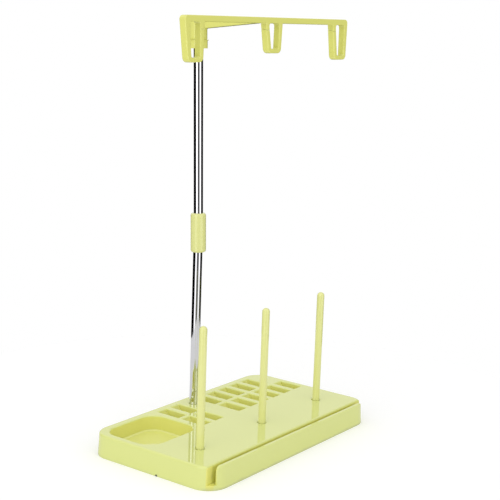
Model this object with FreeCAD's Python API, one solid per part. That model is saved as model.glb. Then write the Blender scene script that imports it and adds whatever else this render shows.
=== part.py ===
import FreeCAD, Part
import math
import os

from FreeCAD import Placement, Rotation, Vector

# Thread spool stand for three cones or spools of sewing thread, with wells for bobbins.
# The frame stands on its base: origin at the middle of the underside, +X along the length
# of the base, +Y towards the mast at the back, +Z up. All lengths are in millimetres.

# Base moulding
base_length = 229.0
base_width = 129.0
base_height = 19.0
base_corner_radius = 18.0
wall_lean = 1.0              # how far each outer wall draws in from the table to the deck
deck_edge_radius = 2.0
strip_edge_radius = 0.55
shell_wall = 2.2

# Thread cutting groove along the front edge
front_strip = 3.2
strip_end_cut = 10.0         # each end of the strip stops short of the base's end
strip_end_radius = 4.5
groove_width = 3.8
groove_depth = 15.0
groove_mouth_radius = 1.2

# Bobbin wells, in two rows behind the deck, each with a floor that curves up to both ends
well_width = 11.2
well_length = 23.4
well_pitch = 17.0
well_depth = 8.0
well_lip_chamfer = 0.7
row_rib = 3.6
well_back_margin = 7.3
mast_strip = 22.0            # plain strip of deck between the two groups of wells
left_columns = 2
deck_end_margin = 5.8        # least deck left between the last well and the end of the base
back_row_missing = 1         # the back row stops short of the rounded corner

# Parts tray on the left
tray_width = 52.8
tray_end_margin = 6.5        # deck left at the end of the base
tray_depth = 12.8
tray_corner_radius = 14.0
tray_wall_lean = 1.2
tray_floor_chamfer = 1.0
tray_gap = 6.8               # deck left between the tray and the first well

# Spool pins
pin_from_end = 31.5          # outer pins from the ends of the base
pin_from_front = 37.5
pin_diameter = 6.4
pin_height = 100.0
pin_seat_depth = 12.5
pin_foot_diameter = 5.4      # thinner spigot in the base
pin_mouth_chamfer = 1.5      # wide countersink round the foot of each pin
pin_boss_wall = 2.4

# Mast
mast_from_back = 16.5
tube_diameter = 8.0
tube_wall = 0.7
tube_seat_depth = 14.0
mast_boss_wall = 3.0
seat_clearance = 0.05        # radial play of every push fit
mast_mouth_chamfer = 0.7

# Sleeve that joins the two tubes
sleeve_bottom = 156.0
sleeve_length = 34.0
sleeve_diameter = 13.2
sleeve_edge_chamfer = 1.3
sleeve_web = 2.0             # inner wall between the two sockets
mast_lean_left = 0.66        # degrees that the upper tube leans in its loose fit
mast_lean_back = 1.39

# Guide arm
arm_top = 354.8
bar_height = 4.8
bar_depth = 6.0
bar_end_radius = 3.5
guide_pitch = 98.5
guide_top_width = 23.0       # over the legs, at the top of the bar
end_guide_width = 15.9       # over the legs, at the foot of the loop
middle_guide_width = 15.0
end_guide_height = 34.2
middle_guide_height = 28.2
guide_leg_top = 3.9
guide_leg_bottom = 3.1
guide_bottom_wall = 3.4
guide_corner_radius = 3.6
hole_top_radius = 3.0
hole_bottom_radius = 1.5
guide_edge_chamfer = 0.8
slit_width = 0.5
slit_below_bar = 6.0
slit_rise = 1.2
arm_width = 8.0
arm_root_height = 9.5
hub_diameter = 15.0
hub_length = 18.0
hub_wall_above_tube = 3.0
hub_edge_radius = 1.2
collar_diameter = 15.6
collar_length = 7.2
collar_rim = 0.8
collar_rim_overhang = 0.7

# Ribs under the deck
rib_thickness = 1.6
rib_foot_gap = 5.0

# Working values
cut_beyond = 1.0             # how far a cutter runs past the surface that it opens
same_place = 0.01            # edges closer than this lie in one plane

# Places worked out from the sizes above
deck_z = base_height
deck_half_length = base_length / 2 - wall_lean
deck_half_width = base_width / 2 - wall_lean
groove_front_y = -deck_half_width + front_strip
groove_back_y = groove_front_y + groove_width
groove_floor_z = deck_z - groove_depth
strip_end_x = base_length / 2 - strip_end_cut
back_row_top_y = deck_half_width - well_back_margin
back_row_y = back_row_top_y - well_length
front_row_y = back_row_y - row_rib - well_length
right_wells_x = mast_strip / 2
right_columns = 1 + int((deck_half_length - deck_end_margin - right_wells_x - well_width) / well_pitch)
left_wells_x = -mast_strip / 2 - (left_columns - 1) * well_pitch - well_width
tray_right_x = left_wells_x - tray_gap
tray_left_x = -deck_half_length + tray_end_margin
tray_back_y = back_row_top_y
tray_front_y = tray_back_y - tray_width
pin_y = -base_width / 2 + pin_from_front
pin_pitch = base_length / 2 - pin_from_end
pin_places = {"left": -pin_pitch, "middle": 0.0, "right": pin_pitch}
pin_seat_z = deck_z - pin_seat_depth
pin_hole_radius = pin_foot_diameter / 2 + seat_clearance
mast_y = base_width / 2 - mast_from_back
tube_seat_z = deck_z - tube_seat_depth
sleeve_middle_z = sleeve_bottom + sleeve_length / 2
web_bottom_z = sleeve_middle_z - sleeve_web / 2
web_top_z = sleeve_middle_z + sleeve_web / 2
hub_bottom_z = arm_top - hub_length
upper_tube_top_z = arm_top - hub_wall_above_tube
collar_bottom_z = hub_bottom_z - collar_length
tube_hole_radius = tube_diameter / 2 + seat_clearance
guide_middle_y = pin_y       # the guides stand over the pins


def rounded_wire(corners, place):
    """Closed outline through corner points (u, v, radius); place turns u, v into a point."""
    edges = []
    count = len(corners)
    tangents = []
    for i in range(count):
        u, v, radius = corners[i]
        before = corners[i - 1]
        after = corners[(i + 1) % count]
        back = Vector(before[0] - u, before[1] - v, 0).normalize()
        ahead = Vector(after[0] - u, after[1] - v, 0).normalize()
        corner = Vector(u, v, 0)
        if radius == 0:
            tangents.append((corner, corner, corner))
            continue
        half = back.getAngle(ahead) / 2
        run = radius / math.tan(half)
        bisector = (back + ahead).normalize()
        middle = corner + bisector * (radius / math.sin(half) - radius)
        tangents.append((corner + back * run, middle, corner + ahead * run))
    for i in range(count):
        start, middle, end = tangents[i]
        if corners[i][2] > 0:
            edges.append(Part.Arc(place(start), place(middle), place(end)).toShape())
        following = tangents[(i + 1) % count][0]
        if (following - end).Length > same_place:
            edges.append(Part.LineSegment(place(end), place(following)).toShape())
    return Part.Wire(Part.__sortEdges__(edges))


def rounded_rectangle(x_low, x_high, y_low, y_high, radius, z):
    """Rounded rectangle seen from above, at height z."""
    corners = [(x_low, y_low, radius), (x_high, y_low, radius),
               (x_high, y_high, radius), (x_low, y_high, radius)]
    return rounded_wire(corners, lambda p: Vector(p.x, p.y, z))


def drafted_block(x_low, x_high, y_low, y_high, radius, z_low, z_high, inset_low, inset_high):
    """Rounded block with sloping walls: each end is drawn in by its own inset."""
    ends = []
    for z, inset in ((z_low, inset_low), (z_high, inset_high)):
        ends.append(rounded_rectangle(x_low + inset, x_high - inset, y_low + inset, y_high - inset,
                                      radius - inset, z))
    return Part.makeLoft(ends, True, True)


def straight_block(x_low, x_high, y_low, y_high, radius, z_low, z_high):
    """Rounded block with upright walls."""
    outline = rounded_rectangle(x_low, x_high, y_low, y_high, radius, z_low)
    return Part.Face(outline).extrude(Vector(0, 0, z_high - z_low))


def plain_box(x_low, x_high, y_low, y_high, z_low, z_high):
    return Part.makeBox(x_high - x_low, y_high - y_low, z_high - z_low, Vector(x_low, y_low, z_low))


def post(radius, x, y, z_low, z_high):
    return Part.makeCylinder(radius, z_high - z_low, Vector(x, y, z_low))


def turned(profile, x, y):
    """Solid of revolution about the upright line at x, y, from (radius, z) points."""
    points = [Vector(x + r, y, z) for r, z in profile]
    points.append(points[0])
    face = Part.Face(Part.makePolygon(points))
    return face.revolve(Vector(x, y, 0), Vector(0, 0, 1), 360)


def edges_where(shape, test):
    return [edge for edge in shape.Edges if test(edge.BoundBox)]


def flat_at(box, z):
    return abs(box.ZMin - z) < same_place and abs(box.ZMax - z) < same_place


def well_places():
    """Lower left corner of every bobbin well."""
    places = []
    for row_y, missing in ((front_row_y, 0), (back_row_y, back_row_missing)):
        for column in range(left_columns):
            places.append((left_wells_x + column * well_pitch, row_y))
        for column in range(right_columns - missing):
            places.append((right_wells_x + column * well_pitch, row_y))
    return places


def well_blocks():
    """Solid blocks under the deck that the wells and the tray are sunk into."""
    blocks = []
    well_floor = deck_z - well_depth - shell_wall
    rows_low = front_row_y - shell_wall
    rows_high = back_row_top_y + shell_wall
    left_high = -mast_strip / 2 + shell_wall
    blocks.append(plain_box(left_wells_x - shell_wall, left_high, rows_low, rows_high, well_floor, deck_z))
    right_low = right_wells_x - shell_wall
    for row_y, missing in ((front_row_y, 0), (back_row_y, back_row_missing)):
        last = right_columns - missing - 1
        right_high = right_wells_x + last * well_pitch + well_width + shell_wall
        blocks.append(plain_box(right_low, right_high, row_y - shell_wall,
                                row_y + well_length + shell_wall, well_floor, deck_z))
    tray_outer_radius = tray_corner_radius + shell_wall
    blocks.append(straight_block(tray_left_x - shell_wall, tray_right_x + shell_wall,
                                 tray_front_y - shell_wall, tray_back_y + shell_wall,
                                 tray_outer_radius, deck_z - tray_depth - shell_wall, deck_z))
    return blocks


def bosses_and_ribs():
    """Sockets for the pins and the mast under the deck, and the ribs that stiffen them."""
    solids = []
    pin_boss_radius = pin_hole_radius + pin_boss_wall
    for x in pin_places.values():
        solids.append(post(pin_boss_radius, x, pin_y, pin_seat_z - shell_wall, deck_z))
        solids.append(plain_box(x - rib_thickness / 2, x + rib_thickness / 2,
                                groove_back_y, front_row_y, rib_foot_gap, deck_z))
    solids.append(post(tube_hole_radius + mast_boss_wall, 0, mast_y, tube_seat_z - shell_wall, deck_z))
    long_rib = plain_box(-deck_half_length + shell_wall, deck_half_length - shell_wall,
                         pin_y - rib_thickness / 2, pin_y + rib_thickness / 2, rib_foot_gap, deck_z)
    solids.append(long_rib)
    half_strip = mast_strip / 2 - shell_wall / 2
    solids.append(plain_box(-half_strip, half_strip, mast_y - rib_thickness / 2, mast_y + rib_thickness / 2,
                            rib_foot_gap, deck_z))
    solids.append(plain_box(-rib_thickness / 2, rib_thickness / 2, mast_y, deck_half_width - shell_wall / 2,
                            rib_foot_gap, deck_z))
    return solids


def well_cutter(x, y):
    """The space of one bobbin well: a cradle whose floor is an arc from end to end."""
    front = Vector(x, y, deck_z)
    back = Vector(x, y + well_length, deck_z)
    lowest = Vector(x, y + well_length / 2, deck_z - well_depth)
    rise = Vector(0, 0, cut_beyond)
    sides = Part.makePolygon([back, back + rise, front + rise, front])
    outline = Part.Wire([Part.Arc(front, lowest, back).toShape()] + sides.Edges)
    return Part.Face(outline).extrude(Vector(well_width, 0, 0))


def strip_end_cutter(side):
    """Rounds the top corner of one end of the strip; side is -1 on the left and 1 on the right."""
    y = -base_width
    straight = strip_end_x - strip_end_radius
    on_top = Vector(side * straight, y, deck_z)
    on_end = Vector(side * strip_end_x, y, deck_z - strip_end_radius)
    reach = strip_end_radius * math.sqrt(0.5)
    middle = Vector(side * (straight + reach), y, deck_z - strip_end_radius + reach)
    outside = Vector(side * base_length, y, deck_z - strip_end_radius)
    above = Vector(side * base_length, y, deck_z + cut_beyond)
    lid = Vector(side * straight, y, deck_z + cut_beyond)
    sides = Part.makePolygon([on_end, outside, above, lid, on_top])
    outline = Part.Wire([Part.Arc(on_top, middle, on_end).toShape()] + sides.Edges)
    return Part.Face(outline).extrude(Vector(0, base_width + groove_back_y, 0))


def seat_cutter(radius, x, y, seat_z, chamfer):
    """Blind socket from the deck, countersunk at its mouth."""
    above = deck_z + cut_beyond
    profile = [(0, seat_z), (radius, seat_z), (radius, deck_z - chamfer),
               (radius + chamfer + cut_beyond, above), (0, above)]
    return turned(profile, x, y)


def make_base():
    """One moulding: deck, walls, tray, bobbin wells, groove, sockets and ribs."""
    half_x = base_length / 2
    half_y = base_width / 2
    outer = drafted_block(-half_x, half_x, -half_y, half_y, base_corner_radius,
                          0, deck_z, 0, wall_lean)
    above = deck_z + cut_beyond
    groove = plain_box(-base_length, base_length, groove_front_y, groove_back_y, groove_floor_z, above)
    outer = outer.cut(groove)
    for x_low, x_high in ((-base_length, -strip_end_x), (strip_end_x, base_length)):
        outer = outer.cut(plain_box(x_low, x_high, -base_width, groove_back_y, groove_floor_z, above))
    outer = outer.makeFillet(groove_mouth_radius, edges_where(outer, is_mouth_edge))
    outer = outer.makeFillet(strip_edge_radius, edges_where(outer, is_strip_edge))
    for side in (-1, 1):
        outer = outer.cut(strip_end_cutter(side))
    outer = outer.makeFillet(deck_edge_radius, edges_where(outer, is_deck_edge))

    hollow = drafted_block(-half_x, half_x, -half_y, half_y, base_corner_radius,
                           0, deck_z - shell_wall, shell_wall, shell_wall + wall_lean)
    front_bar = plain_box(-base_length, base_length, -base_width, groove_back_y + shell_wall, 0, deck_z)
    for solid in [front_bar] + well_blocks() + bosses_and_ribs():
        hollow = hollow.cut(solid)
    base = outer.cut(hollow)

    wells = []
    for x, y in well_places():
        wells.append(well_cutter(x, y))
    base = base.cut(Part.makeCompound(wells))
    base = base.cut(make_tray_cutter())
    lips = edges_where(base, is_lip_edge)
    base = base.makeChamfer(well_lip_chamfer, lips)

    for x in pin_places.values():
        base = base.cut(seat_cutter(pin_hole_radius, x, pin_y, pin_seat_z, pin_mouth_chamfer))
    base = base.cut(seat_cutter(tube_hole_radius, 0, mast_y, tube_seat_z, mast_mouth_chamfer))
    return base.removeSplitter()


def is_mouth_edge(box):
    """Upright edges of the deck's corners where the groove runs out through them."""
    upright = box.ZMax - box.ZMin > groove_depth / 2
    return upright and abs(box.YMin - groove_back_y) < same_place and box.YMax - box.YMin < same_place


def is_strip_edge(box):
    """Long edges of the strip in front of the groove, in the plane of the deck."""
    along = box.XMax - box.XMin > same_place
    return flat_at(box, deck_z) and box.YMax < groove_front_y + same_place and along


def is_deck_edge(box):
    """Edges round the main deck, behind the groove."""
    return flat_at(box, deck_z) and box.YMin > groove_back_y - same_place


def is_lip_edge(box):
    """Edges of the wells and the tray in the plane of the deck."""
    inside = box.YMin > front_row_y - same_place and box.YMax < back_row_top_y + same_place
    inside_x = box.XMin > tray_left_x - same_place
    return flat_at(box, deck_z) and inside and inside_x


def make_tray_cutter():
    """The space of the parts tray, with sloping walls and an eased floor edge."""
    floor_z = deck_z - tray_depth
    cutter = drafted_block(tray_left_x, tray_right_x, tray_front_y, tray_back_y, tray_corner_radius,
                           floor_z, deck_z, tray_wall_lean, 0)
    cutter = cutter.makeChamfer(tray_floor_chamfer, edges_where(cutter, lambda box: flat_at(box, floor_z)))
    lid = straight_block(tray_left_x, tray_right_x, tray_front_y, tray_back_y, tray_corner_radius,
                         deck_z, deck_z + cut_beyond)
    return cutter.fuse(lid).removeSplitter()


def make_pin(x):
    """Spool pin: a straight shank with a round tip, its thinner foot pushed into the base."""
    radius = pin_diameter / 2
    tip_z = deck_z + pin_height - radius
    foot = post(pin_foot_diameter / 2, x, pin_y, pin_seat_z, deck_z)
    shank = post(radius, x, pin_y, deck_z, tip_z)
    tip = Part.makeSphere(radius, Vector(x, pin_y, tip_z), Vector(0, 0, 1), 0, 90, 360)
    return foot.fuse([shank, tip]).removeSplitter()


def make_tube(z_low, z_high):
    outer = post(tube_diameter / 2, 0, mast_y, z_low, z_high)
    bore_radius = tube_diameter / 2 - tube_wall
    return outer.cut(post(bore_radius, 0, mast_y, z_low - cut_beyond, z_high + cut_beyond))


def lean(shape):
    """Turns the upper part of the mast about the middle of the sleeve, as its fit lets it lean."""
    pivot = Vector(0, mast_y, sleeve_middle_z)
    turn = Rotation(Vector(0, 1, 0), -mast_lean_left).multiply(Rotation(Vector(1, 0, 0), -mast_lean_back))
    leaning = shape.copy()
    leaning.Placement = Placement(Vector(0, 0, 0), turn, pivot)
    return leaning


def make_sleeve():
    """Joining sleeve: its upper socket holds the leaning tube, its lower one the upright tube."""
    sleeve_top = sleeve_bottom + sleeve_length
    body = post(sleeve_diameter / 2, 0, mast_y, sleeve_bottom, sleeve_top)
    rims = edges_where(body, lambda box: box.ZMax - box.ZMin < same_place)
    body = body.makeChamfer(sleeve_edge_chamfer, rims)
    body = lean(body.cut(post(tube_hole_radius, 0, mast_y, web_top_z, sleeve_top + cut_beyond)))
    return body.cut(post(tube_hole_radius, 0, mast_y, sleeve_bottom - 2 * cut_beyond, web_bottom_z))


def make_collar():
    """Collar under the hub, with a thin rim at the joint."""
    radius = collar_diameter / 2
    rim_radius = radius + collar_rim_overhang
    rim_z = hub_bottom_z - collar_rim
    profile = [(tube_hole_radius, collar_bottom_z), (radius, collar_bottom_z), (radius, rim_z),
               (rim_radius, rim_z), (rim_radius, hub_bottom_z), (tube_hole_radius, hub_bottom_z)]
    return turned(profile, 0, mast_y)


def front_plate(corners):
    """Solid of the bar's depth from an outline in the front view of (x, z, radius) corners."""
    front_y = guide_middle_y - bar_depth / 2
    outline = rounded_wire(corners, lambda p: Vector(p.x, front_y, p.y))
    return Part.Face(outline).extrude(Vector(0, bar_depth, 0))


def guide_half_width(foot_width, height, below):
    """Half the width of a tapering loop, measured below the top of the bar."""
    return (guide_top_width + (foot_width - guide_top_width) * below / height) / 2


def guide_outline(x, height, foot_width):
    """Outer corners of a tapering guide loop; the outer corner of an end loop rounds off the bar."""
    half_top = guide_top_width / 2
    half_bottom = foot_width / 2
    bottom = arm_top - height
    left_radius = bar_end_radius if x < 0 else 0
    right_radius = bar_end_radius if x > 0 else 0
    return [(x - half_top, arm_top, left_radius), (x - half_bottom, bottom, guide_corner_radius),
            (x + half_bottom, bottom, guide_corner_radius), (x + half_top, arm_top, right_radius)]


def guide_hole(x, height, foot_width):
    """Corners of the hole in a guide loop, one leg's thickness inside its outline."""
    deep = height - guide_bottom_wall
    half_top = guide_half_width(foot_width, height, bar_height) - guide_leg_top
    half_bottom = guide_half_width(foot_width, height, deep) - guide_leg_bottom
    top = arm_top - bar_height
    bottom = arm_top - deep
    return [(x - half_top, top, hole_top_radius), (x - half_bottom, bottom, hole_bottom_radius),
            (x + half_bottom, bottom, hole_bottom_radius), (x + half_top, top, hole_top_radius)]


def is_plate_rim(box):
    """Edges round the front and back faces of the bar and its loops."""
    front_y = guide_middle_y - bar_depth / 2
    back_y = guide_middle_y + bar_depth / 2
    level = box.YMax - box.YMin < same_place
    return level and (abs(box.YMin - front_y) < same_place or abs(box.YMin - back_y) < same_place)


def slit_cutter(x_leg):
    """Slanting slot that lets a thread slip into a guide loop through its leg."""
    slot_z = arm_top - bar_height - slit_below_bar
    x = x_leg - guide_leg_top
    ends = [(guide_middle_y - bar_depth, slot_z - slit_rise),
            (guide_middle_y + bar_depth, slot_z + slit_rise)]
    points = [Vector(x, y, z) for y, z in ends]
    points += [Vector(x, y, z + slit_width) for y, z in reversed(ends)]
    points.append(points[0])
    return Part.Face(Part.makePolygon(points)).extrude(Vector(guide_leg_top * 2, 0, 0))


def make_guide_arm():
    """One moulding: hub, support arm, cross bar and three slotted guide loops."""
    half_bar = guide_pitch + guide_top_width / 2
    bar = front_plate([(-half_bar, arm_top - bar_height, 0), (half_bar, arm_top - bar_height, 0),
                       (half_bar, arm_top, bar_end_radius), (-half_bar, arm_top, bar_end_radius)])
    guides = [(-guide_pitch, end_guide_height, end_guide_width),
              (0.0, middle_guide_height, middle_guide_width),
              (guide_pitch, end_guide_height, end_guide_width)]
    plate = bar.fuse([front_plate(guide_outline(*guide)) for guide in guides]).removeSplitter()
    for guide in guides:
        plate = plate.cut(front_plate(guide_hole(*guide)))
    plate = plate.makeChamfer(guide_edge_chamfer, edges_where(plate, is_plate_rim))

    root_y = mast_y
    end_y = guide_middle_y
    side = [Vector(-arm_width / 2, root_y, arm_top), Vector(-arm_width / 2, end_y, arm_top),
            Vector(-arm_width / 2, end_y, arm_top - bar_height),
            Vector(-arm_width / 2, root_y, arm_top - arm_root_height)]
    side.append(side[0])
    support = Part.Face(Part.makePolygon(side)).extrude(Vector(arm_width, 0, 0))
    hub = post(hub_diameter / 2, 0, mast_y, hub_bottom_z, arm_top)
    hub = hub.makeFillet(hub_edge_radius, edges_where(hub, lambda box: flat_at(box, arm_top)))
    arm = plate.fuse([support, hub]).removeSplitter()
    socket = post(tube_hole_radius, 0, mast_y, hub_bottom_z - cut_beyond, upper_tube_top_z)
    arm = arm.cut(socket)
    leg_middle = (guide_top_width - guide_leg_top) / 2
    for x_leg in (-guide_pitch + leg_middle, -leg_middle, guide_pitch - leg_middle):
        arm = arm.cut(slit_cutter(x_leg))
    return arm.removeSplitter()


def check(name, shape):
    solids = len(shape.Solids)
    print(f"{name:20s} solids {solids}  valid {shape.isValid()}  volume {shape.Volume:10.1f} mm3")
    if solids != 1 or not shape.isValid():
        raise ValueError(name)


nodes = {"base_moulding": make_base()}
for side_name, pin_x in pin_places.items():
    nodes[f"spool_pin_{side_name}"] = make_pin(pin_x)
nodes["lower_tube"] = make_tube(tube_seat_z, web_bottom_z)
nodes["tube_sleeve"] = make_sleeve()
nodes["upper_tube"] = lean(make_tube(web_top_z, upper_tube_top_z))
nodes["arm_collar"] = lean(make_collar())
nodes["guide_arm"] = lean(make_guide_arm())

os.makedirs("parts", exist_ok=True)
for node_name, node_shape in nodes.items():
    check(node_name, node_shape)
    node_shape.exportStep(f"parts/{node_name}.step")
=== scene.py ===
# %% [markdown]
# # A thread spool stand, dressed for the camera
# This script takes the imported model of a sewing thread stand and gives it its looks: a camera,
# a white table, soft studio light, glossy lime plastic and bright plated tube. Two pieces, the
# arm with the thread guides and the sleeve between the tubes, are modelled again here, because
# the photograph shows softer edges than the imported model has.
# Every length is in metres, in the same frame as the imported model: the base stands on the
# floor, +X runs along it, +Y goes back to the mast and +Z is up.

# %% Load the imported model
import math

import bmesh
import bpy
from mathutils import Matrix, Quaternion, Vector


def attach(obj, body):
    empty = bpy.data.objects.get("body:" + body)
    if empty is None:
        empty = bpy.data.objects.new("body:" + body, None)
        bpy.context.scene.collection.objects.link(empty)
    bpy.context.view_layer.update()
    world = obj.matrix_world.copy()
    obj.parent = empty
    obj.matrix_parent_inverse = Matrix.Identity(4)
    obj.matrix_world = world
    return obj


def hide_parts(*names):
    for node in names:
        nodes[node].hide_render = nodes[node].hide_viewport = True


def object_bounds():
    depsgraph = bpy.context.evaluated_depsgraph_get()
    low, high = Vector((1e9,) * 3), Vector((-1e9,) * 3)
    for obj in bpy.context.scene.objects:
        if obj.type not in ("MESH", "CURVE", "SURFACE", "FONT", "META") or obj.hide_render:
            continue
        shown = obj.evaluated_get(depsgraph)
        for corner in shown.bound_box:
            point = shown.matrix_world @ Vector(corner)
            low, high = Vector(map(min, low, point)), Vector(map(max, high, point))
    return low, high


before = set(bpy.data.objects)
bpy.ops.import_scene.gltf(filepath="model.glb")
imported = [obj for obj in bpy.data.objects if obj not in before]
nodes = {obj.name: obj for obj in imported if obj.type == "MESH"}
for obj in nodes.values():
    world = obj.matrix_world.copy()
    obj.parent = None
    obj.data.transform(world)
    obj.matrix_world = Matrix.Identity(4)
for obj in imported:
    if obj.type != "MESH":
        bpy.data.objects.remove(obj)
cad_box = [list(corner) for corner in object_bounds()]
mm = 0.001
size = [high - low for low, high in zip(*cad_box)]
print("loaded", len(nodes), "nodes; the stand is", [round(side / mm, 1) for side in size], "mm")

# %% [markdown]
# ## Camera
# The photograph was taken from the front left and a little above, from about 80 cm, with the
# camera tipped by two degrees. These values were fitted to points measured in the photograph.
# A camera is placed most safely by the point that it looks at, its direction and its distance:
# then each of them can be changed without losing the others.

# %% Camera
view_azimuth = math.radians(-53.578)
view_elevation = math.radians(10.815)
view_roll = math.radians(2.04)
view_target = Vector((-0.128124, -0.102598, 0.195942))
view_distance = 0.797713
picture_width = 36.0      # sensor width and focal length are in millimetres
focal_length = 82.657


def direction(azimuth, elevation):
    """Unit vector from the stand towards a place round it; azimuth 0 is straight in front."""
    return Vector((math.sin(azimuth) * math.cos(elevation),
                   -math.cos(azimuth) * math.cos(elevation),
                   math.sin(elevation)))


def facing_back(towards):
    """The turn that points a camera or a lamp back along the direction in which it stands."""
    return (-towards).to_track_quat("-Z", "Y")


camera = bpy.data.objects.new("camera", bpy.data.cameras.new("camera"))
bpy.context.scene.collection.objects.link(camera)
camera.data.sensor_width = picture_width
camera.data.lens = focal_length
camera.data.clip_start = 0.01
camera.data.clip_end = 100.0
camera.data.dof.use_dof = False
towards_camera = direction(view_azimuth, view_elevation)
camera.location = view_target + towards_camera * view_distance
camera.rotation_mode = "QUATERNION"
camera.rotation_quaternion = facing_back(towards_camera) @ Quaternion((0, 0, 1), view_roll)
bpy.context.scene.camera = camera
bpy.context.scene.view_settings.view_transform = "Standard"
print("camera at", [round(value, 3) for value in camera.location])

# %% [markdown]
# ## Node helper
# All the materials below are made of shader nodes. A small helper that adds a node, sets its
# inputs and wires it up keeps each material short enough to read in one go: an input is given
# either a plain value or the output socket that feeds it. Kinds of node that come back often,
# such as noise and a change of range, get a helper of their own where they are first needed.

# %% Node helper
def add_node(tree, kind, inputs=None, **settings):
    """Adds a node; inputs maps a socket's name or number to a value or an output socket."""
    node = tree.nodes.new(kind)
    for name, value in settings.items():
        setattr(node, name, value)
    for name, value in (inputs or {}).items():
        socket = node.inputs[name]
        if isinstance(value, bpy.types.NodeSocket):
            tree.links.new(value, socket)
        else:
            socket.default_value = value
    return node


print("helper ready: add_node")

# %% [markdown]
# ## World
# The picture has a pure white ground, so the camera sees a white world and a white floor. The
# whiteness comes from Light Path: only camera rays see the full white, so it adds no light to
# the stand. The light that does fall on it is soft, as in a photographer's tent, and stronger
# from the front left than from behind, which gives the walls of the base tones of their own.

# %% World
def grey(brightness):
    """A colour without a tint."""
    return (brightness, brightness, brightness, 1.0)


def vector_maths(tree, operation, *inputs):
    """A vector worked out from others; a dot product or a distance gives a number."""
    node = add_node(tree, "ShaderNodeVectorMath", dict(enumerate(inputs)), operation=operation)
    return node.outputs["Value" if operation in ("DOT_PRODUCT", "DISTANCE") else "Vector"]


def remap(tree, value, low, high, new_low=0.0, new_high=1.0):
    """Carries the range from low to high over to a new range, and stops at its ends."""
    node = add_node(tree, "ShaderNodeMapRange", {
        "Value": value, "From Min": low, "From Max": high, "To Min": new_low, "To Max": new_high})
    return node.outputs["Result"]


world = bpy.data.worlds.new("studio")
bpy.context.scene.world = world
world.use_nodes = True
room = world.node_tree
room.nodes.clear()
white = grey(1.0)
front_light, back_light = 1.07, 0.62
lit_side = direction(math.radians(-60.0), 0.0)
path = add_node(room, "ShaderNodeLightPath")
outward = add_node(room, "ShaderNodeTexCoord").outputs["Generated"]
sideways = vector_maths(room, "DOT_PRODUCT", outward, lit_side)
tent = remap(room, sideways, -1.0, 1.0, back_light, front_light)
ambient = add_node(room, "ShaderNodeBackground", {"Color": white, "Strength": tent})
seen = add_node(room, "ShaderNodeBackground", {"Color": white, "Strength": 1.0})
print("world: light from", back_light, "behind to", front_light, "in front")

# %% [markdown]
# ## The room in the shine
# A plated tube shows little of its own: what the eye reads as chrome is the room that it
# mirrors. So glossy rays see a room of their own. It is dark, with one pale panel on each side of
# the camera, and those make the bright and black lines that run down the tube. The room's walls
# are light only behind the stand, from just above the level, and all round high up. The deck
# mirrors the wall behind the stand and gets its pale shine from it, while the upright tubes
# mirror what lies below the level and keep their dark lines.

# %% Pale panels round the room
panel_heading = direction(math.radians(-44.0), 0.0)
# Place round the room, from 0 behind the stand to 1 near the camera, and the brightness there.
panel_steps = [(0.725, 0.0), (0.75, 1.5), (0.94, 1.5), (0.965, 0.12)]
axes = add_node(room, "ShaderNodeSeparateXYZ", {0: outward})
flat = add_node(room, "ShaderNodeCombineXYZ", {"X": axes.outputs["X"], "Y": axes.outputs["Y"]})
level = vector_maths(room, "NORMALIZE", flat.outputs[0])
forward = remap(room, vector_maths(room, "DOT_PRODUCT", level, panel_heading), -1.0, 1.0)
ramp = add_node(room, "ShaderNodeValToRGB", {"Fac": forward})
marks = ramp.color_ramp.elements
marks[0].position = panel_steps[0][0]
marks[1].position = panel_steps[-1][0]
for position, _ in panel_steps[1:-1]:
    marks.new(position)
for mark, (_, brightness) in zip(marks, panel_steps):
    mark.color = grey(brightness)
print("panels:", [(round(mark.position, 3), round(mark.color[0], 2)) for mark in marks])

# %% Light walls, and what each kind of ray sees
def maths(tree, operation, first, second):
    """A number worked out from two others."""
    node = add_node(tree, "ShaderNodeMath", {0: first, 1: second}, operation=operation)
    return node.outputs[0]


def blend(tree, share, first, second):
    """A colour between two others; a share of 1 is all the second."""
    node = add_node(tree, "ShaderNodeMix", {"Factor": share, "A": first, "B": second},
                    data_type="RGBA")
    return node.outputs["Result"]


wall_brightness = 1.05
level_low, level_high = 0.03, 0.13          # height of a ray's direction: 0 is level, 1 is up
top_low, top_high = 0.45, 0.65
behind_full, behind_none = 0.10, 0.18       # place round the room, as for the panels
above_level = remap(room, axes.outputs["Z"], level_low, level_high)
behind = remap(room, forward, behind_full, behind_none, 1.0, 0.0)
high_up = remap(room, axes.outputs["Z"], top_low, top_high)
light_wall = maths(room, "MAXIMUM", maths(room, "MULTIPLY", above_level, behind), high_up)
walls = blend(room, light_wall, ramp.outputs["Color"], grey(wall_brightness))
mirrored = add_node(room, "ShaderNodeBackground", {"Color": walls, "Strength": 1.0})
with_gloss = add_node(room, "ShaderNodeMixShader", {
    0: path.outputs["Is Glossy Ray"], 1: ambient.outputs[0], 2: mirrored.outputs[0]})
with_camera = add_node(room, "ShaderNodeMixShader", {
    0: path.outputs["Is Camera Ray"], 1: with_gloss.outputs[0], 2: seen.outputs[0]})
add_node(room, "ShaderNodeOutputWorld", {"Surface": with_camera.outputs[0]})
print("light walls in the shine:", wall_brightness)

# %% [markdown]
# ## Floor
# The stand needs a table under it for its shadow. A disc about three times as wide as the base
# is enough, and it fades into the white world, because its colour is pale and the camera sees a
# little light added to it. Only the camera sees that light, so the plastic doesn't pick it up.

# %% Floor
def empty_material(name):
    """A material with an empty node tree, and its output node."""
    material = bpy.data.materials.new(name)
    material.use_nodes = True
    material.node_tree.nodes.clear()
    return material, add_node(material.node_tree, "ShaderNodeOutputMaterial")


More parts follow.
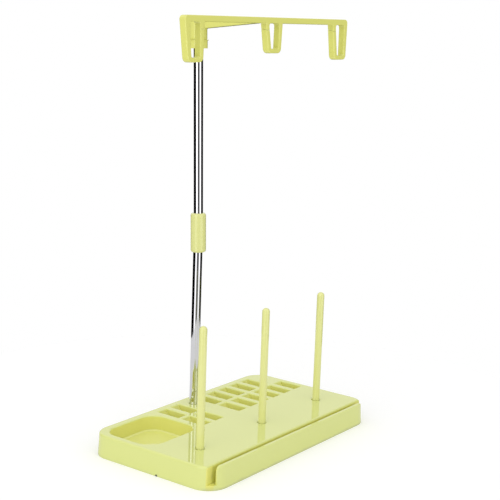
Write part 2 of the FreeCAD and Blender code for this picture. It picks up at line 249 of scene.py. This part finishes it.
floor_radius = 0.34
floor_sides = 96
table_grey, floor_lift = grey(0.86), 0.22
bpy.ops.object.select_all(action="DESELECT")
bpy.ops.mesh.primitive_circle_add(vertices=floor_sides, radius=floor_radius, fill_type="NGON",
                                  location=(0, 0, 0))
floor = bpy.context.object
floor.name = "floor"
floor_paint, floor_output = empty_material("white_table")
table = floor_paint.node_tree
matt = add_node(table, "ShaderNodeBsdfDiffuse", {"Color": table_grey})
lift = add_node(table, "ShaderNodeEmission", {"Color": white, "Strength": floor_lift})
table_path = add_node(table, "ShaderNodeLightPath")
lifted = add_node(table, "ShaderNodeAddShader", {0: matt.outputs[0], 1: lift.outputs[0]})
table_look = add_node(table, "ShaderNodeMixShader", {
    0: table_path.outputs["Is Camera Ray"], 1: matt.outputs[0], 2: lifted.outputs[0]})
table.links.new(table_look.outputs[0], floor_output.inputs["Surface"])
floor.data.materials.append(floor_paint)
print("floor disc of", floor_radius, "m")

# %% [markdown]
# ## Lamps
# The world's light alone would leave the walls and the deck nearly equal. Three large, weak lamps
# give them their own tones: one from the camera's left, a weaker one from its right, and one from
# above. Large lamps make soft shadows, as in the photograph.

# %% Lamps
def add_softbox(name, azimuth, elevation, distance, width, height, power):
    """A soft lamp that faces the middle of the stand: angles in degrees, power in watts."""
    data = bpy.data.lights.new(name, "AREA")
    data.shape = "RECTANGLE"
    data.size = width
    data.size_y = height
    data.energy = power
    lamp = bpy.data.objects.new(name, data)
    bpy.context.scene.collection.objects.link(lamp)
    towards_lamp = direction(math.radians(azimuth), math.radians(elevation))
    middle = Vector((0, 0, size[2] / 2))
    lamp.location = middle + towards_lamp * distance
    lamp.rotation_euler = facing_back(towards_lamp).to_euler()
    lamp.visible_camera = False
    return lamp


softboxes = [
    add_softbox("softbox_left", azimuth=-90.0, elevation=16.0, distance=1.4,
                width=0.7, height=1.3, power=2.4),
    add_softbox("softbox_right", azimuth=2.0, elevation=16.0, distance=1.4,
                width=0.6, height=1.3, power=0.8),
    add_softbox("softbox_top", azimuth=-44.0, elevation=72.0, distance=1.5,
                width=1.2, height=1.2, power=1.4)]
print("lamps:", [lamp.name for lamp in softboxes])

# %% [markdown]
# ## Arm and sleeve with soft edges
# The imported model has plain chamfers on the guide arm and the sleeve, to save faces. In the
# photograph their edges are softly rounded, so both pieces are modelled again here. The sleeve
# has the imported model's sizes. The arm keeps the height, the bar's place and the hub's, but
# follows the photograph in its loops and its support arm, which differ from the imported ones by
# up to about a millimetre.
# Both are made as by hand: plain blocks, shaped in edit mode, joined and cut by boolean
# modifiers. The small helpers below keep each step short. Everything is deselected before a new
# block comes in, because an operator acts on all that is selected.

# %% Helpers: blocks
def choose(piece):
    """Selects one object alone and makes it the active one."""
    bpy.ops.object.select_all(action="DESELECT")
    piece.select_set(True)
    bpy.context.view_layer.objects.active = piece


def settle(name):
    """Names the new object and moves its place and size into its mesh."""
    block = bpy.context.object
    block.name = name
    bpy.ops.object.transform_apply(location=True, rotation=True, scale=True)
    return block


def add_block(name, x_span, y_span, z_span):
    """A box between the given spans, with its origin at the world's."""
    bpy.ops.object.select_all(action="DESELECT")
    middle = [(low + high) / 2 for low, high in (x_span, y_span, z_span)]
    sides = [high - low for low, high in (x_span, y_span, z_span)]
    bpy.ops.mesh.primitive_cube_add(size=1.0, location=middle, scale=sides)
    return settle(name)


print("helpers ready: choose, settle, add_block")

# %% Helpers: picking and rounding
same_place = 0.05 * mm


def near(value, goal):
    return abs(value - goal) < same_place


def pick(block, test, kind="VERT"):
    """Opens a block in edit mode with only the vertices or edges selected that pass the test."""
    choose(block)
    bpy.ops.object.mode_set(mode="EDIT")
    bpy.ops.mesh.select_mode(type=kind)
    bpy.ops.mesh.select_all(action="DESELECT")
    mesh = bmesh.from_edit_mesh(block.data)
    for part in (mesh.verts if kind == "VERT" else mesh.edges):
        corners = [part] if kind == "VERT" else part.verts
        part.select_set(all(test(corner.co) for corner in corners))
    mesh.select_flush_mode()
    bmesh.update_edit_mesh(block.data)


def leave_edit_mode():
    bpy.ops.object.mode_set(mode="OBJECT")


def round_edges(block, test, radius, segments=6):
    """Rounds the edges whose two ends both pass the test."""
    pick(block, test, "EDGE")
    bpy.ops.mesh.bevel(offset=radius, segments=segments, affect="EDGES")
    leave_edit_mode()


print("helpers ready: near, pick, round_edges")

# %% [markdown]
# ## Guide loops
# Three loops hang from the bar, and each guides the thread of the spool below it. A loop could be
# a section swept along a curve, but its legs taper and its corners are rounder outside than
# inside, so a block with a hole cut out of it comes closer and is easier to measure. The outer
# block is made too deep and too high on purpose. All three are trimmed flat together with the
# bar later, because booleans between faces that lie in one plane leave slivers behind.

# %% The outside of a loop
arm_top, bar_height, bar_depth = 354.8 * mm, 4.8 * mm, 6.0 * mm
guide_y = -27.0 * mm
loop_y_span = (guide_y - bar_depth, guide_y + bar_depth)
loop_top_width, loop_foot_shift, loop_foot_round = 23.8 * mm, 0.6 * mm, 3.6 * mm
spare_height = 5 * mm


def taper(block, z, share, x, foot_shift):
    """Narrows the foot of a block to a share of its width and shifts it sideways."""
    pick(block, lambda v: near(v.z, z))
    bpy.ops.transform.resize(value=(share, 1, 1), center_override=(x, guide_y, z))
    bpy.ops.transform.translate(value=(foot_shift, 0, 0))
    leave_edit_mode()


def add_loop(name, x, height, foot_width):
    """A tapering loop without its hole, left too deep and too high."""
    bottom, half = arm_top - height, loop_top_width / 2
    loop = add_block(name, (x - half, x + half), loop_y_span, (bottom, arm_top))
    taper(loop, bottom, foot_width / loop_top_width, x, loop_foot_shift)
    for side in (-1, 1):
        round_edges(loop, lambda v: near(v.z, bottom) and (v.x - x - loop_foot_shift) * side > 0,
                    loop_foot_round)
    pick(loop, lambda v: near(v.z, arm_top))
    bpy.ops.mesh.extrude_region_move(TRANSFORM_OT_translate={"value": (0, 0, spare_height)})
    leave_edit_mode()
    return loop


print("helpers ready: taper, add_loop")

# %% The hole of a loop
loop_foot_thickness, hole_foot_shift = 3.4 * mm, 0.8 * mm
hole_top_round, hole_foot_round = 2.6 * mm, 1.5 * mm


def add_hole(x, height, top_half, foot_half):
    """The block that cuts the hole of a guide loop."""
    top, bottom = arm_top - bar_height, arm_top - height + loop_foot_thickness
    hole = add_block("hole", (x - top_half, x + top_half), loop_y_span, (bottom, top))
    taper(hole, bottom, foot_half / top_half, x, hole_foot_shift)
    for side in (-1, 1):
        round_edges(hole, lambda v: near(v.z, top) and (v.x - x) * side > 0, hole_top_round)
        round_edges(hole, lambda v: near(v.z, bottom) and (v.x - x) * side > 0, hole_foot_round)
    return hole


print("helper ready: add_hole")

# %% Three guide loops
left_x, middle_x, right_x = -98.5 * mm, 0.7 * mm, 97.9 * mm
# Name, place, height and foot width of a loop, then the hole's half width at its top and foot.
loop_sizes = [("loop_left", left_x, 34.2 * mm, 17.5 * mm, 6.3 * mm, 4.9 * mm),
              ("loop_middle", middle_x, 28.2 * mm, 16.8 * mm, 7.1 * mm, 4.9 * mm),
              ("loop_right", right_x, 34.2 * mm, 17.5 * mm, 6.8 * mm, 5.0 * mm)]
loops = [add_loop(*sizes[:4]) for sizes in loop_sizes]
holes = [add_hole(sizes[1], sizes[2], *sizes[4:]) for sizes in loop_sizes]
print("loops:", [loop.name for loop in loops])

# %% [markdown]
# ## Bar, support arm and hub
# The bar joins the three loops, the support arm reaches back from its middle and grows deeper on
# the way, and the hub at its end sits on the mast. They are one moulding, so they become one
# mesh here. The bar ends inside the outer loops and the blocks are too large, and then one cut
# each makes the front, the back and the top flat. The holes are cut before the support arm comes
# on, so that no hole can cut into it.

# %% Helpers: cutting and joining
def trim(block, place, outward_way):
    """Cuts a block flat at a plane and closes the cut; what lies outward of it goes away."""
    pick(block, lambda v: True)
    bpy.ops.mesh.bisect(plane_co=place, plane_no=outward_way, use_fill=True, clear_outer=True)
    leave_edit_mode()


def apply_modifier(piece, modifier):
    choose(piece)
    bpy.ops.object.modifier_apply(modifier=modifier.name)


def combine(base, tool, operation):
    """Applies a boolean of the tool to the base and removes the tool."""
    modifier = base.modifiers.new(operation.lower(), "BOOLEAN")
    modifier.operation = operation
    modifier.solver = "EXACT"
    modifier.object = tool
    apply_modifier(base, modifier)
    bpy.data.objects.remove(tool)


print("helpers ready: trim, apply_modifier, combine")

# %% Bar with its loops
front, back = guide_y - bar_depth / 2, guide_y + bar_depth / 2
bar_spare_depth, bar_spare_height = 2 * mm, 3 * mm
arm = add_block("thread_guide_arm", (left_x, right_x),
                (front - bar_spare_depth, back + bar_spare_depth),
                (arm_top - bar_height, arm_top + bar_spare_height))
for loop in loops:
    combine(arm, loop, "UNION")
trim(arm, (0, front, 0), (0, -1, 0))
trim(arm, (0, back, 0), (0, 1, 0))
for hole in holes:
    combine(arm, hole, "DIFFERENCE")
print("bar and loops:", len(arm.data.polygons), "faces")

# %% Support arm and hub
mast_y = 48.0 * mm
post_sides = 64
support_half_width, support_thickness, support_drop = 4 * mm, 3.8 * mm, 5.7 * mm
support_overlap, support_spare_height = 1 * mm, 2 * mm
hub_radius, hub_height, hub_spare_height = 7.5 * mm, 18 * mm, 6 * mm
bar_end_round = 3.5 * mm


def add_post(name, radius, z_low, z_high):
    """An upright round post on the mast's axis, with its origin at the world's."""
    bpy.ops.object.select_all(action="DESELECT")
    bpy.ops.mesh.primitive_cylinder_add(vertices=post_sides, radius=radius, depth=z_high - z_low,
                                        location=(0, mast_y, (z_low + z_high) / 2))
    return settle(name)


def shift(block, test, offset):
    """Moves the vertices that pass the test."""
    pick(block, test)
    bpy.ops.transform.translate(value=offset)
    leave_edit_mode()


support = add_block("support", (-support_half_width, support_half_width),
                    (back - support_overlap, mast_y),
                    (arm_top - support_thickness, arm_top + support_spare_height))
shift(support, lambda v: near(v.y, mast_y) and v.z < arm_top, (0, 0, -support_drop))
combine(arm, support, "UNION")
hub = add_post("hub", hub_radius, arm_top - hub_height, arm_top + hub_spare_height)
combine(arm, hub, "UNION")
trim(arm, (0, 0, arm_top), (0, 0, 1))
for end in (left_x - loop_top_width / 2, right_x + loop_top_width / 2):
    round_edges(arm, lambda v: near(v.z, arm_top) and near(v.x, end), bar_end_round)
print("arm:", len(arm.data.polygons), "faces before rounding")

# %% [markdown]
# ## Soft edges on the arm
# A moulded part has no sharp edges, and it is the highlight on a rounded edge that makes plastic
# look like plastic. A bevel modifier rounds every edge that turns by more than 40 degrees, all by
# the same width. Doubled points and needless edges are cleared away first, because the bevel
# would stumble over them.

# %% Soft edges on the arm
double_distance, sliver_length = 0.04 * mm, 0.02 * mm
flat_angle, edge_angle = math.radians(1.5), math.radians(40)
soft_round, soft_segments = 0.8 * mm, 3
pick(arm, lambda v: True)
bpy.ops.mesh.remove_doubles(threshold=double_distance)
bpy.ops.mesh.dissolve_degenerate(threshold=sliver_length)
bpy.ops.mesh.dissolve_limited(angle_limit=flat_angle)
leave_edit_mode()
soft = arm.modifiers.new("soft_edges", "BEVEL")
soft.width = soft_round
soft.segments = soft_segments
soft.limit_method = "ANGLE"
soft.angle_limit = edge_angle
soft.use_clamp_overlap = False
apply_modifier(arm, soft)
print("arm:", len(arm.data.polygons), "faces after rounding")

# %% [markdown]
# ## Socket and slits in the arm
# The hub has a blind socket for the upper tube. In one leg of each loop a slit lets the thread
# slip in, and it slants, so that the thread doesn't slip out again. In the photograph a slit is
# only a short dark mark, so it is very narrow here. Both are cut after the rounding: the slits are
# narrower than the round, which would tear them open.

# %% Blind socket in the hub
socket_radius = 4.05 * mm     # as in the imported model: 8 mm tube and 0.05 mm of play all round
hub_roof, overshoot = 3 * mm, 1 * mm
hub_socket = add_post("hub_socket", socket_radius, arm_top - hub_height - overshoot,
                      arm_top - hub_roof)
combine(arm, hub_socket, "DIFFERENCE")
print("arm:", len(arm.data.polygons), "faces with its socket")

# %% Slits in the legs
leg_inset = 2.1 * mm
slit_drop, slit_width, slit_slant, slit_reach = 6.0 * mm, 0.22 * mm, 2.4 * mm, 3.5 * mm
leg_middle = loop_top_width / 2 - leg_inset
slit_z = arm_top - bar_height - slit_drop
for x in (left_x + leg_middle, middle_x - leg_middle, right_x - leg_middle):
    slit = add_block("slit", (x - slit_reach, x + slit_reach), loop_y_span,
                     (slit_z, slit_z + slit_width))
    shift(slit, lambda v: v.y > guide_y, (0, 0, slit_slant))
    combine(arm, slit, "DIFFERENCE")
print("arm:", len(arm.data.polygons), "faces with its slits")

# %% [markdown]
# ## Soft sleeve
# A plain round sleeve joins the two tubes, which both stop against a thin wall in its middle. A
# cylinder with its rims rounded is all that shows. The sockets are cut out of it as well,
# because the mesh is kept as a part of its own and the tubes shouldn't run through it. Only the
# upper socket is cut here, so that it leans with the sleeve. The lower tube stands upright, so
# its socket is cut after the lean.

# %% Soft sleeve with its upper socket
sleeve_low, sleeve_high, wall_half = 156 * mm, 190 * mm, 1 * mm
sleeve_radius, rim_round, rim_segments = 6.6 * mm, 1.9 * mm, 5
sleeve_middle = (sleeve_low + sleeve_high) / 2
sleeve = add_post("joining_sleeve", sleeve_radius, sleeve_low, sleeve_high)
for rim_z in (sleeve_low, sleeve_high):
    round_edges(sleeve, lambda v: near(v.z, rim_z), rim_round, rim_segments)
upper_socket = add_post("upper_socket", socket_radius, sleeve_middle + wall_half,
                        sleeve_high + overshoot)
combine(sleeve, upper_socket, "DIFFERENCE")
print("sleeve:", len(sleeve.data.polygons), "faces with its upper socket")

# %% [markdown]
# ## Lean and shading
# In the photograph the sleeve and all that stands above it lean a little to the back and to the
# left. The two pieces are built upright, where their sizes are plain numbers, and are turned only
# now, in edit mode, so that their objects stay unturned. With no window, transform.rotate
# turns the other way from what its sign says, and it needs the centre given.
# Shading smooth by angle keeps the rounds soft, and weighted normals keep the large faces flat.

# %% Lean with the mast
lean_back, lean_left = math.radians(1.39), math.radians(0.66)
lean_height = 173 * mm
pivot = (0, mast_y, lean_height)
for piece in (arm, sleeve):
    pick(piece, lambda v: True)
    bpy.ops.transform.rotate(value=lean_back, orient_axis="X", center_override=pivot)
    bpy.ops.transform.rotate(value=lean_left, orient_axis="Y", center_override=pivot)
    leave_edit_mode()
lower_socket = add_post("lower_socket", socket_radius, sleeve_low - 2 * overshoot,
                        sleeve_middle - wall_half)
combine(sleeve, lower_socket, "DIFFERENCE")
print("leaned back by", round(math.degrees(lean_back), 2), "and left by",
      round(math.degrees(lean_left), 2), "degrees")

# %% Smooth shading
smooth_angle = math.radians(50)
for piece in (arm, sleeve):
    choose(piece)
    bpy.ops.object.shade_smooth_by_angle(angle=smooth_angle)
    flat_faces = piece.modifiers.new("flat_faces", "WEIGHTED_NORMAL")
    flat_faces.keep_sharp = True
    flat_faces.weight = 100
    apply_modifier(piece, flat_faces)
    spans = [[getattr(v.co, axis) / mm for v in piece.data.vertices] for axis in "xyz"]
    print(piece.name, "in mm:", [(round(min(span), 2), round(max(span), 2)) for span in spans],
          len(piece.data.polygons), "faces")

# %% [markdown]
# ## Moulded plastic
# The stand is injection moulded in a pale lime plastic with a high gloss. A moulded surface is
# never quite flat: it draws in a little over ribs and walls, so reflections wobble slowly, and
# handling leaves a fine haze of scuffs. Both effects are in one node group, which gives a
# height for the bump, a mask for the haze and a slow change of tone. Each material then uses
# them at its own strength.

# %% Group: moulded skin
def noise(tree, place, scale, detail, roughness=0.5):
    """Cloudy noise over a place, as a number between 0 and 1."""
    node = add_node(tree, "ShaderNodeTexNoise", {
        "Vector": place, "Scale": scale, "Detail": detail, "Roughness": roughness})
    return node.outputs["Fac"]


skin_group = bpy.data.node_groups.new("moulded_skin", "ShaderNodeTree")
for socket_name, default in (("Wave Scale", 22.0), ("Haze Scale", 160.0)):
    socket = skin_group.interface.new_socket(socket_name, in_out="INPUT",
                                             socket_type="NodeSocketFloat")
    socket.default_value = default
for socket_name in ("Wave", "Haze", "Tone"):
    skin_group.interface.new_socket(socket_name, in_out="OUTPUT", socket_type="NodeSocketFloat")
skin_in = add_node(skin_group, "NodeGroupInput")
place = add_node(skin_group, "ShaderNodeTexCoord").outputs["Object"]
wave = noise(skin_group, place, scale=skin_in.outputs["Wave Scale"], detail=1.0, roughness=0.4)
tone = noise(skin_group, place, scale=9.0, detail=2.0)
scuffs = noise(skin_group, place, scale=skin_in.outputs["Haze Scale"], detail=6.0,
               roughness=0.65)
patches = noise(skin_group, place, scale=14.0, detail=3.0)
haze = maths(skin_group, "MULTIPLY", scuffs, patches)
skin_out = add_node(skin_group, "NodeGroupOutput", {"Wave": wave, "Haze": haze, "Tone": tone})
print("group", skin_group.name, "with outputs", [s.name for s in skin_out.inputs if s.name])

# %% Lime plastic
sharpest, dullest = 0.015, 0.05       # roughness where the haze is thin and where it is thick
plastic_ior = 1.5


def lime_plastic(name, light_tone, deep_tone, wave_height):
    """Glossy moulded plastic in two close tones of one colour."""
    material, output = empty_material(name)
    tree = material.node_tree
    skin = add_node(tree, "ShaderNodeGroup", node_tree=skin_group)
    colour = blend(tree, skin.outputs["Tone"], light_tone, deep_tone)
    gloss = remap(tree, skin.outputs["Haze"], 0.1, 0.5, new_low=sharpest, new_high=dullest)
    ripple = add_node(tree, "ShaderNodeBump", {
        "Height": skin.outputs["Wave"], "Strength": 1.0, "Distance": wave_height})
    shader = add_node(tree, "ShaderNodeBsdfPrincipled", {
        "Base Color": colour, "Roughness": gloss, "Normal": ripple.outputs["Normal"],
        "IOR": plastic_ior})
    tree.links.new(shader.outputs["BSDF"], output.inputs["Surface"])
    return material


base_plastic = lime_plastic("lime_base_plastic", light_tone=(0.755, 0.80, 0.292, 1.0),
                            deep_tone=(0.725, 0.77, 0.265, 1.0), wave_height=0.00006)
rod_plastic = lime_plastic("lime_rod_plastic", light_tone=(0.80, 0.81, 0.335, 1.0),
                           deep_tone=(0.77, 0.78, 0.31, 1.0), wave_height=0.00003)
# Arm and sleeve are the rod's fittings plastic; their darker, more olive tones are painted shade.
arm_shaded_plastic = lime_plastic("lime_arm_shaded_plastic", light_tone=(0.75, 0.75, 0.215, 1.0),
                           deep_tone=(0.725, 0.725, 0.19, 1.0), wave_height=0.00003)
sleeve_shaded_plastic = lime_plastic("lime_sleeve_shaded_plastic", light_tone=(0.745, 0.755, 0.31, 1.0),
                              deep_tone=(0.72, 0.73, 0.29, 1.0), wave_height=0.00003)
print("plastics:", base_plastic.name, rod_plastic.name, arm_shaded_plastic.name, sleeve_shaded_plastic.name)

# %% [markdown]
# ## Painted light and shade in the recesses
# In the photograph the plastic looks deeper and yellower inside the tray, the wells and the
# groove, perhaps because light passes a little way through it and bounces between the walls. To
# render that would be slow and hard to steer, so a mask for the inside of a box picks those
# places, and a warmer tone is painted in there: painted shade in the wells and the groove, and
# painted light on the tray's floor and at the groove's end. The mask is a group, because five
# boxes use it.

# %% Group: inside a box
inside_group = bpy.data.node_groups.new("inside_box", "ShaderNodeTree")
for socket_name in ("Middle", "Half Size"):
    inside_group.interface.new_socket(socket_name, in_out="INPUT", socket_type="NodeSocketVector")
inside_group.interface.new_socket("Mask", in_out="OUTPUT", socket_type="NodeSocketFloat")
box_edge = 0.0008
inside_in = add_node(inside_group, "NodeGroupInput")
box_place = add_node(inside_group, "ShaderNodeTexCoord").outputs["Object"]
offset = vector_maths(inside_group, "SUBTRACT", box_place, inside_in.outputs["Middle"])
distance = vector_maths(inside_group, "ABSOLUTE", offset)
beyond = vector_maths(inside_group, "SUBTRACT", distance, inside_in.outputs["Half Size"])
ways = add_node(inside_group, "ShaderNodeSeparateXYZ", {"Vector": beyond})
farther = maths(inside_group, "MAXIMUM", ways.outputs["X"], ways.outputs["Y"])
farthest = maths(inside_group, "MAXIMUM", farther, ways.outputs["Z"])
inside = remap(inside_group, farthest, -box_edge, 0.0, 1.0, 0.0)
add_node(inside_group, "NodeGroupOutput", {"Mask": inside})
print("group", inside_group.name, "with an edge of", box_edge / mm, "mm")

# %% Painted light and shade in the recesses
base_tree = base_plastic.node_tree
skin_shader = next(node for node in base_tree.nodes if node.type == "BSDF_PRINCIPLED")


def tint(mask, colour):
    """Mixes a colour over what the base plastic has so far, where the mask is."""
    base_colour = skin_shader.inputs["Base Color"]
    mixed = blend(base_tree, mask, base_colour.links[0].from_socket, colour)
    base_tree.links.new(mixed, base_colour)


def inside_box(x_span, y_span, z_span):
    """The mask for a box between the given spans."""
    spans = (x_span, y_span, z_span)
    box = add_node(base_tree, "ShaderNodeGroup", node_tree=inside_group)
    box.inputs["Middle"].default_value = [(low + high) / 2 for low, high in spans]
    box.inputs["Half Size"].default_value = [(high - low) / 2 for low, high in spans]
    return box.outputs["Mask"]


tray_y, groove_y = (0.0022, 0.0574), (-0.0611, -0.0557)
recess_z = (-0.010, 0.0184)
# The first box takes in the tray too, and the next two go over it.
recess_painted_light_and_shade = {
    "wells": ((-0.1082, 0.1085), tray_y, recess_z, (0.745, 0.745, 0.235, 1.0)),
    "tray": ((-0.1095, -0.0435), tray_y, recess_z, (0.775, 0.765, 0.22, 1.0)),
    "tray_floor": ((-0.1070, -0.0460), (0.0040, 0.0560), (-0.010, 0.0078),
                   (0.83, 0.845, 0.29, 1.0)),
    "groove": ((-0.1118, 0.1118), groove_y, recess_z, (0.765, 0.755, 0.19, 1.0)),
    "groove_end": ((-0.1114, -0.1040), groove_y, (0.0030, 0.0180), (0.83, 0.81, 0.215, 1.0))}
# Painted light and shade: each box mixes its tone into the base plastic.
for x_span, y_span, z_span, painted_recess_tone in recess_painted_light_and_shade.values():
    tint(inside_box(x_span, y_span, z_span), painted_recess_tone)
print("recess tones in", base_plastic.name, "for", list(recess_painted_light_and_shade))

# %% [markdown]
# ## Painted shadow along the foot
# Along the foot of the base, where it meets the table, the photograph shows an uneven darker
# line, plainest on the front wall, and one small dark speck at the edge of the left wall. The line
# is the shadow where the base meets the table, painted in: a mask by height, broken up by noise,
# darkens the plastic there. Its share falls off towards the left wall, where the line is fainter.
# A second mask darkens the speck.

# %% Painted shadow along the foot, and a dark speck
line_start, line_lowest, line_highest = 0.0004, 0.0014, 0.0036
line_strength, left_wall_share = 0.6, 0.3
left_wall_x, front_wall_x = -0.1138, -0.1120
speck_place, speck_dark, speck_edge = (-0.1144, -0.009, 0.0004), 0.0009, 0.0014

foot_place = add_node(base_tree, "ShaderNodeTexCoord").outputs["Object"]
foot_axes = add_node(base_tree, "ShaderNodeSeparateXYZ", {"Vector": foot_place})
shadow_break_noise = noise(base_tree, foot_place, scale=70.0, detail=4.0, roughness=0.6)
reach = remap(base_tree, shadow_break_noise, 0.3, 0.7, line_lowest, line_highest)
painted_foot_shadow = remap(base_tree, foot_axes.outputs["Z"], line_start, reach, line_strength, 0.0)
front_share = remap(base_tree, foot_axes.outputs["X"], left_wall_x, front_wall_x,
                    left_wall_share, 1.0)
# Painted shadow: the plastic darkens along its foot, most on the front wall.
tint(maths(base_tree, "MULTIPLY", painted_foot_shadow, front_share), (0.50, 0.53, 0.29, 1.0))
speck_away = vector_maths(base_tree, "DISTANCE", foot_place, speck_place)
tint(remap(base_tree, speck_away, speck_dark, speck_edge, 1.0, 0.0), (0.10, 0.11, 0.07, 1.0))
print("foot line in", base_plastic.name)

# %% [markdown]
# ## Bright plated tube
# The mast is thin steel tube, drawn and then plated. Drawing leaves very fine lines along the
# tube, and the plating over them is a clean mirror. Noise that is stretched along the mast gives
# the lines; they change the roughness only a little, so that the reflections stay sharp.

# %% Plated tube
line_stretch = (1.0, 1.0, 0.012)
smoothest, roughest = 0.03, 0.09
mast_chrome, chrome_output = empty_material("plated_tube")
plating = mast_chrome.node_tree
tube_place = add_node(plating, "ShaderNodeTexCoord").outputs["Object"]
drawn = add_node(plating, "ShaderNodeMapping", {"Vector": tube_place, "Scale": line_stretch})
lines = noise(plating, drawn.outputs["Vector"], scale=2600.0, detail=3.0, roughness=0.6)
polish = remap(plating, lines, 0.3, 0.7, smoothest, roughest)
smears = noise(plating, tube_place, scale=55.0, detail=4.0)
sheen_tone = blend(plating, smears, (0.80, 0.80, 0.82, 1.0), (0.70, 0.70, 0.72, 1.0))
metal = add_node(plating, "ShaderNodeBsdfPrincipled", {
    "Base Color": sheen_tone, "Metallic": 1.0, "Roughness": polish})
plating.links.new(metal.outputs["BSDF"], chrome_output.inputs["Surface"])
print("plating:", mast_chrome.name)

# %% [markdown]
# ## Put the finishes on
# Every node of the imported model comes with a plain material in a named slot, so a finish is put
# on by the slot's name. The collar gets the arm's copy of the fittings plastic instead, whose
# darker, more olive tone is painted shade.

# %% Put the finishes on
finishes = {"base_plastic": base_plastic, "fittings_plastic": rod_plastic,
            "mast_chrome": mast_chrome}
for node_name, node in nodes.items():
    for slot in node.material_slots:
        slot.material = finishes[slot.material.name]
        if node_name == "arm_collar":
            slot.material = arm_shaded_plastic
print("finished:", sorted(nodes))

# %% [markdown]
# ## Put the soft pieces in place
# Each new piece rides on the stand's one body and stands for the imported node of the same
# place, which is then hidden.

# %% Put the soft pieces in place
for piece, node_name, plastic in ((arm, "guide_arm", arm_shaded_plastic),
                                  (sleeve, "tube_sleeve", sleeve_shaded_plastic)):
    piece.data.materials.clear()
    piece.data.materials.append(plastic)
    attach(piece, "root")
    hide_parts(node_name)
    print(piece.name, "stands for", node_name)
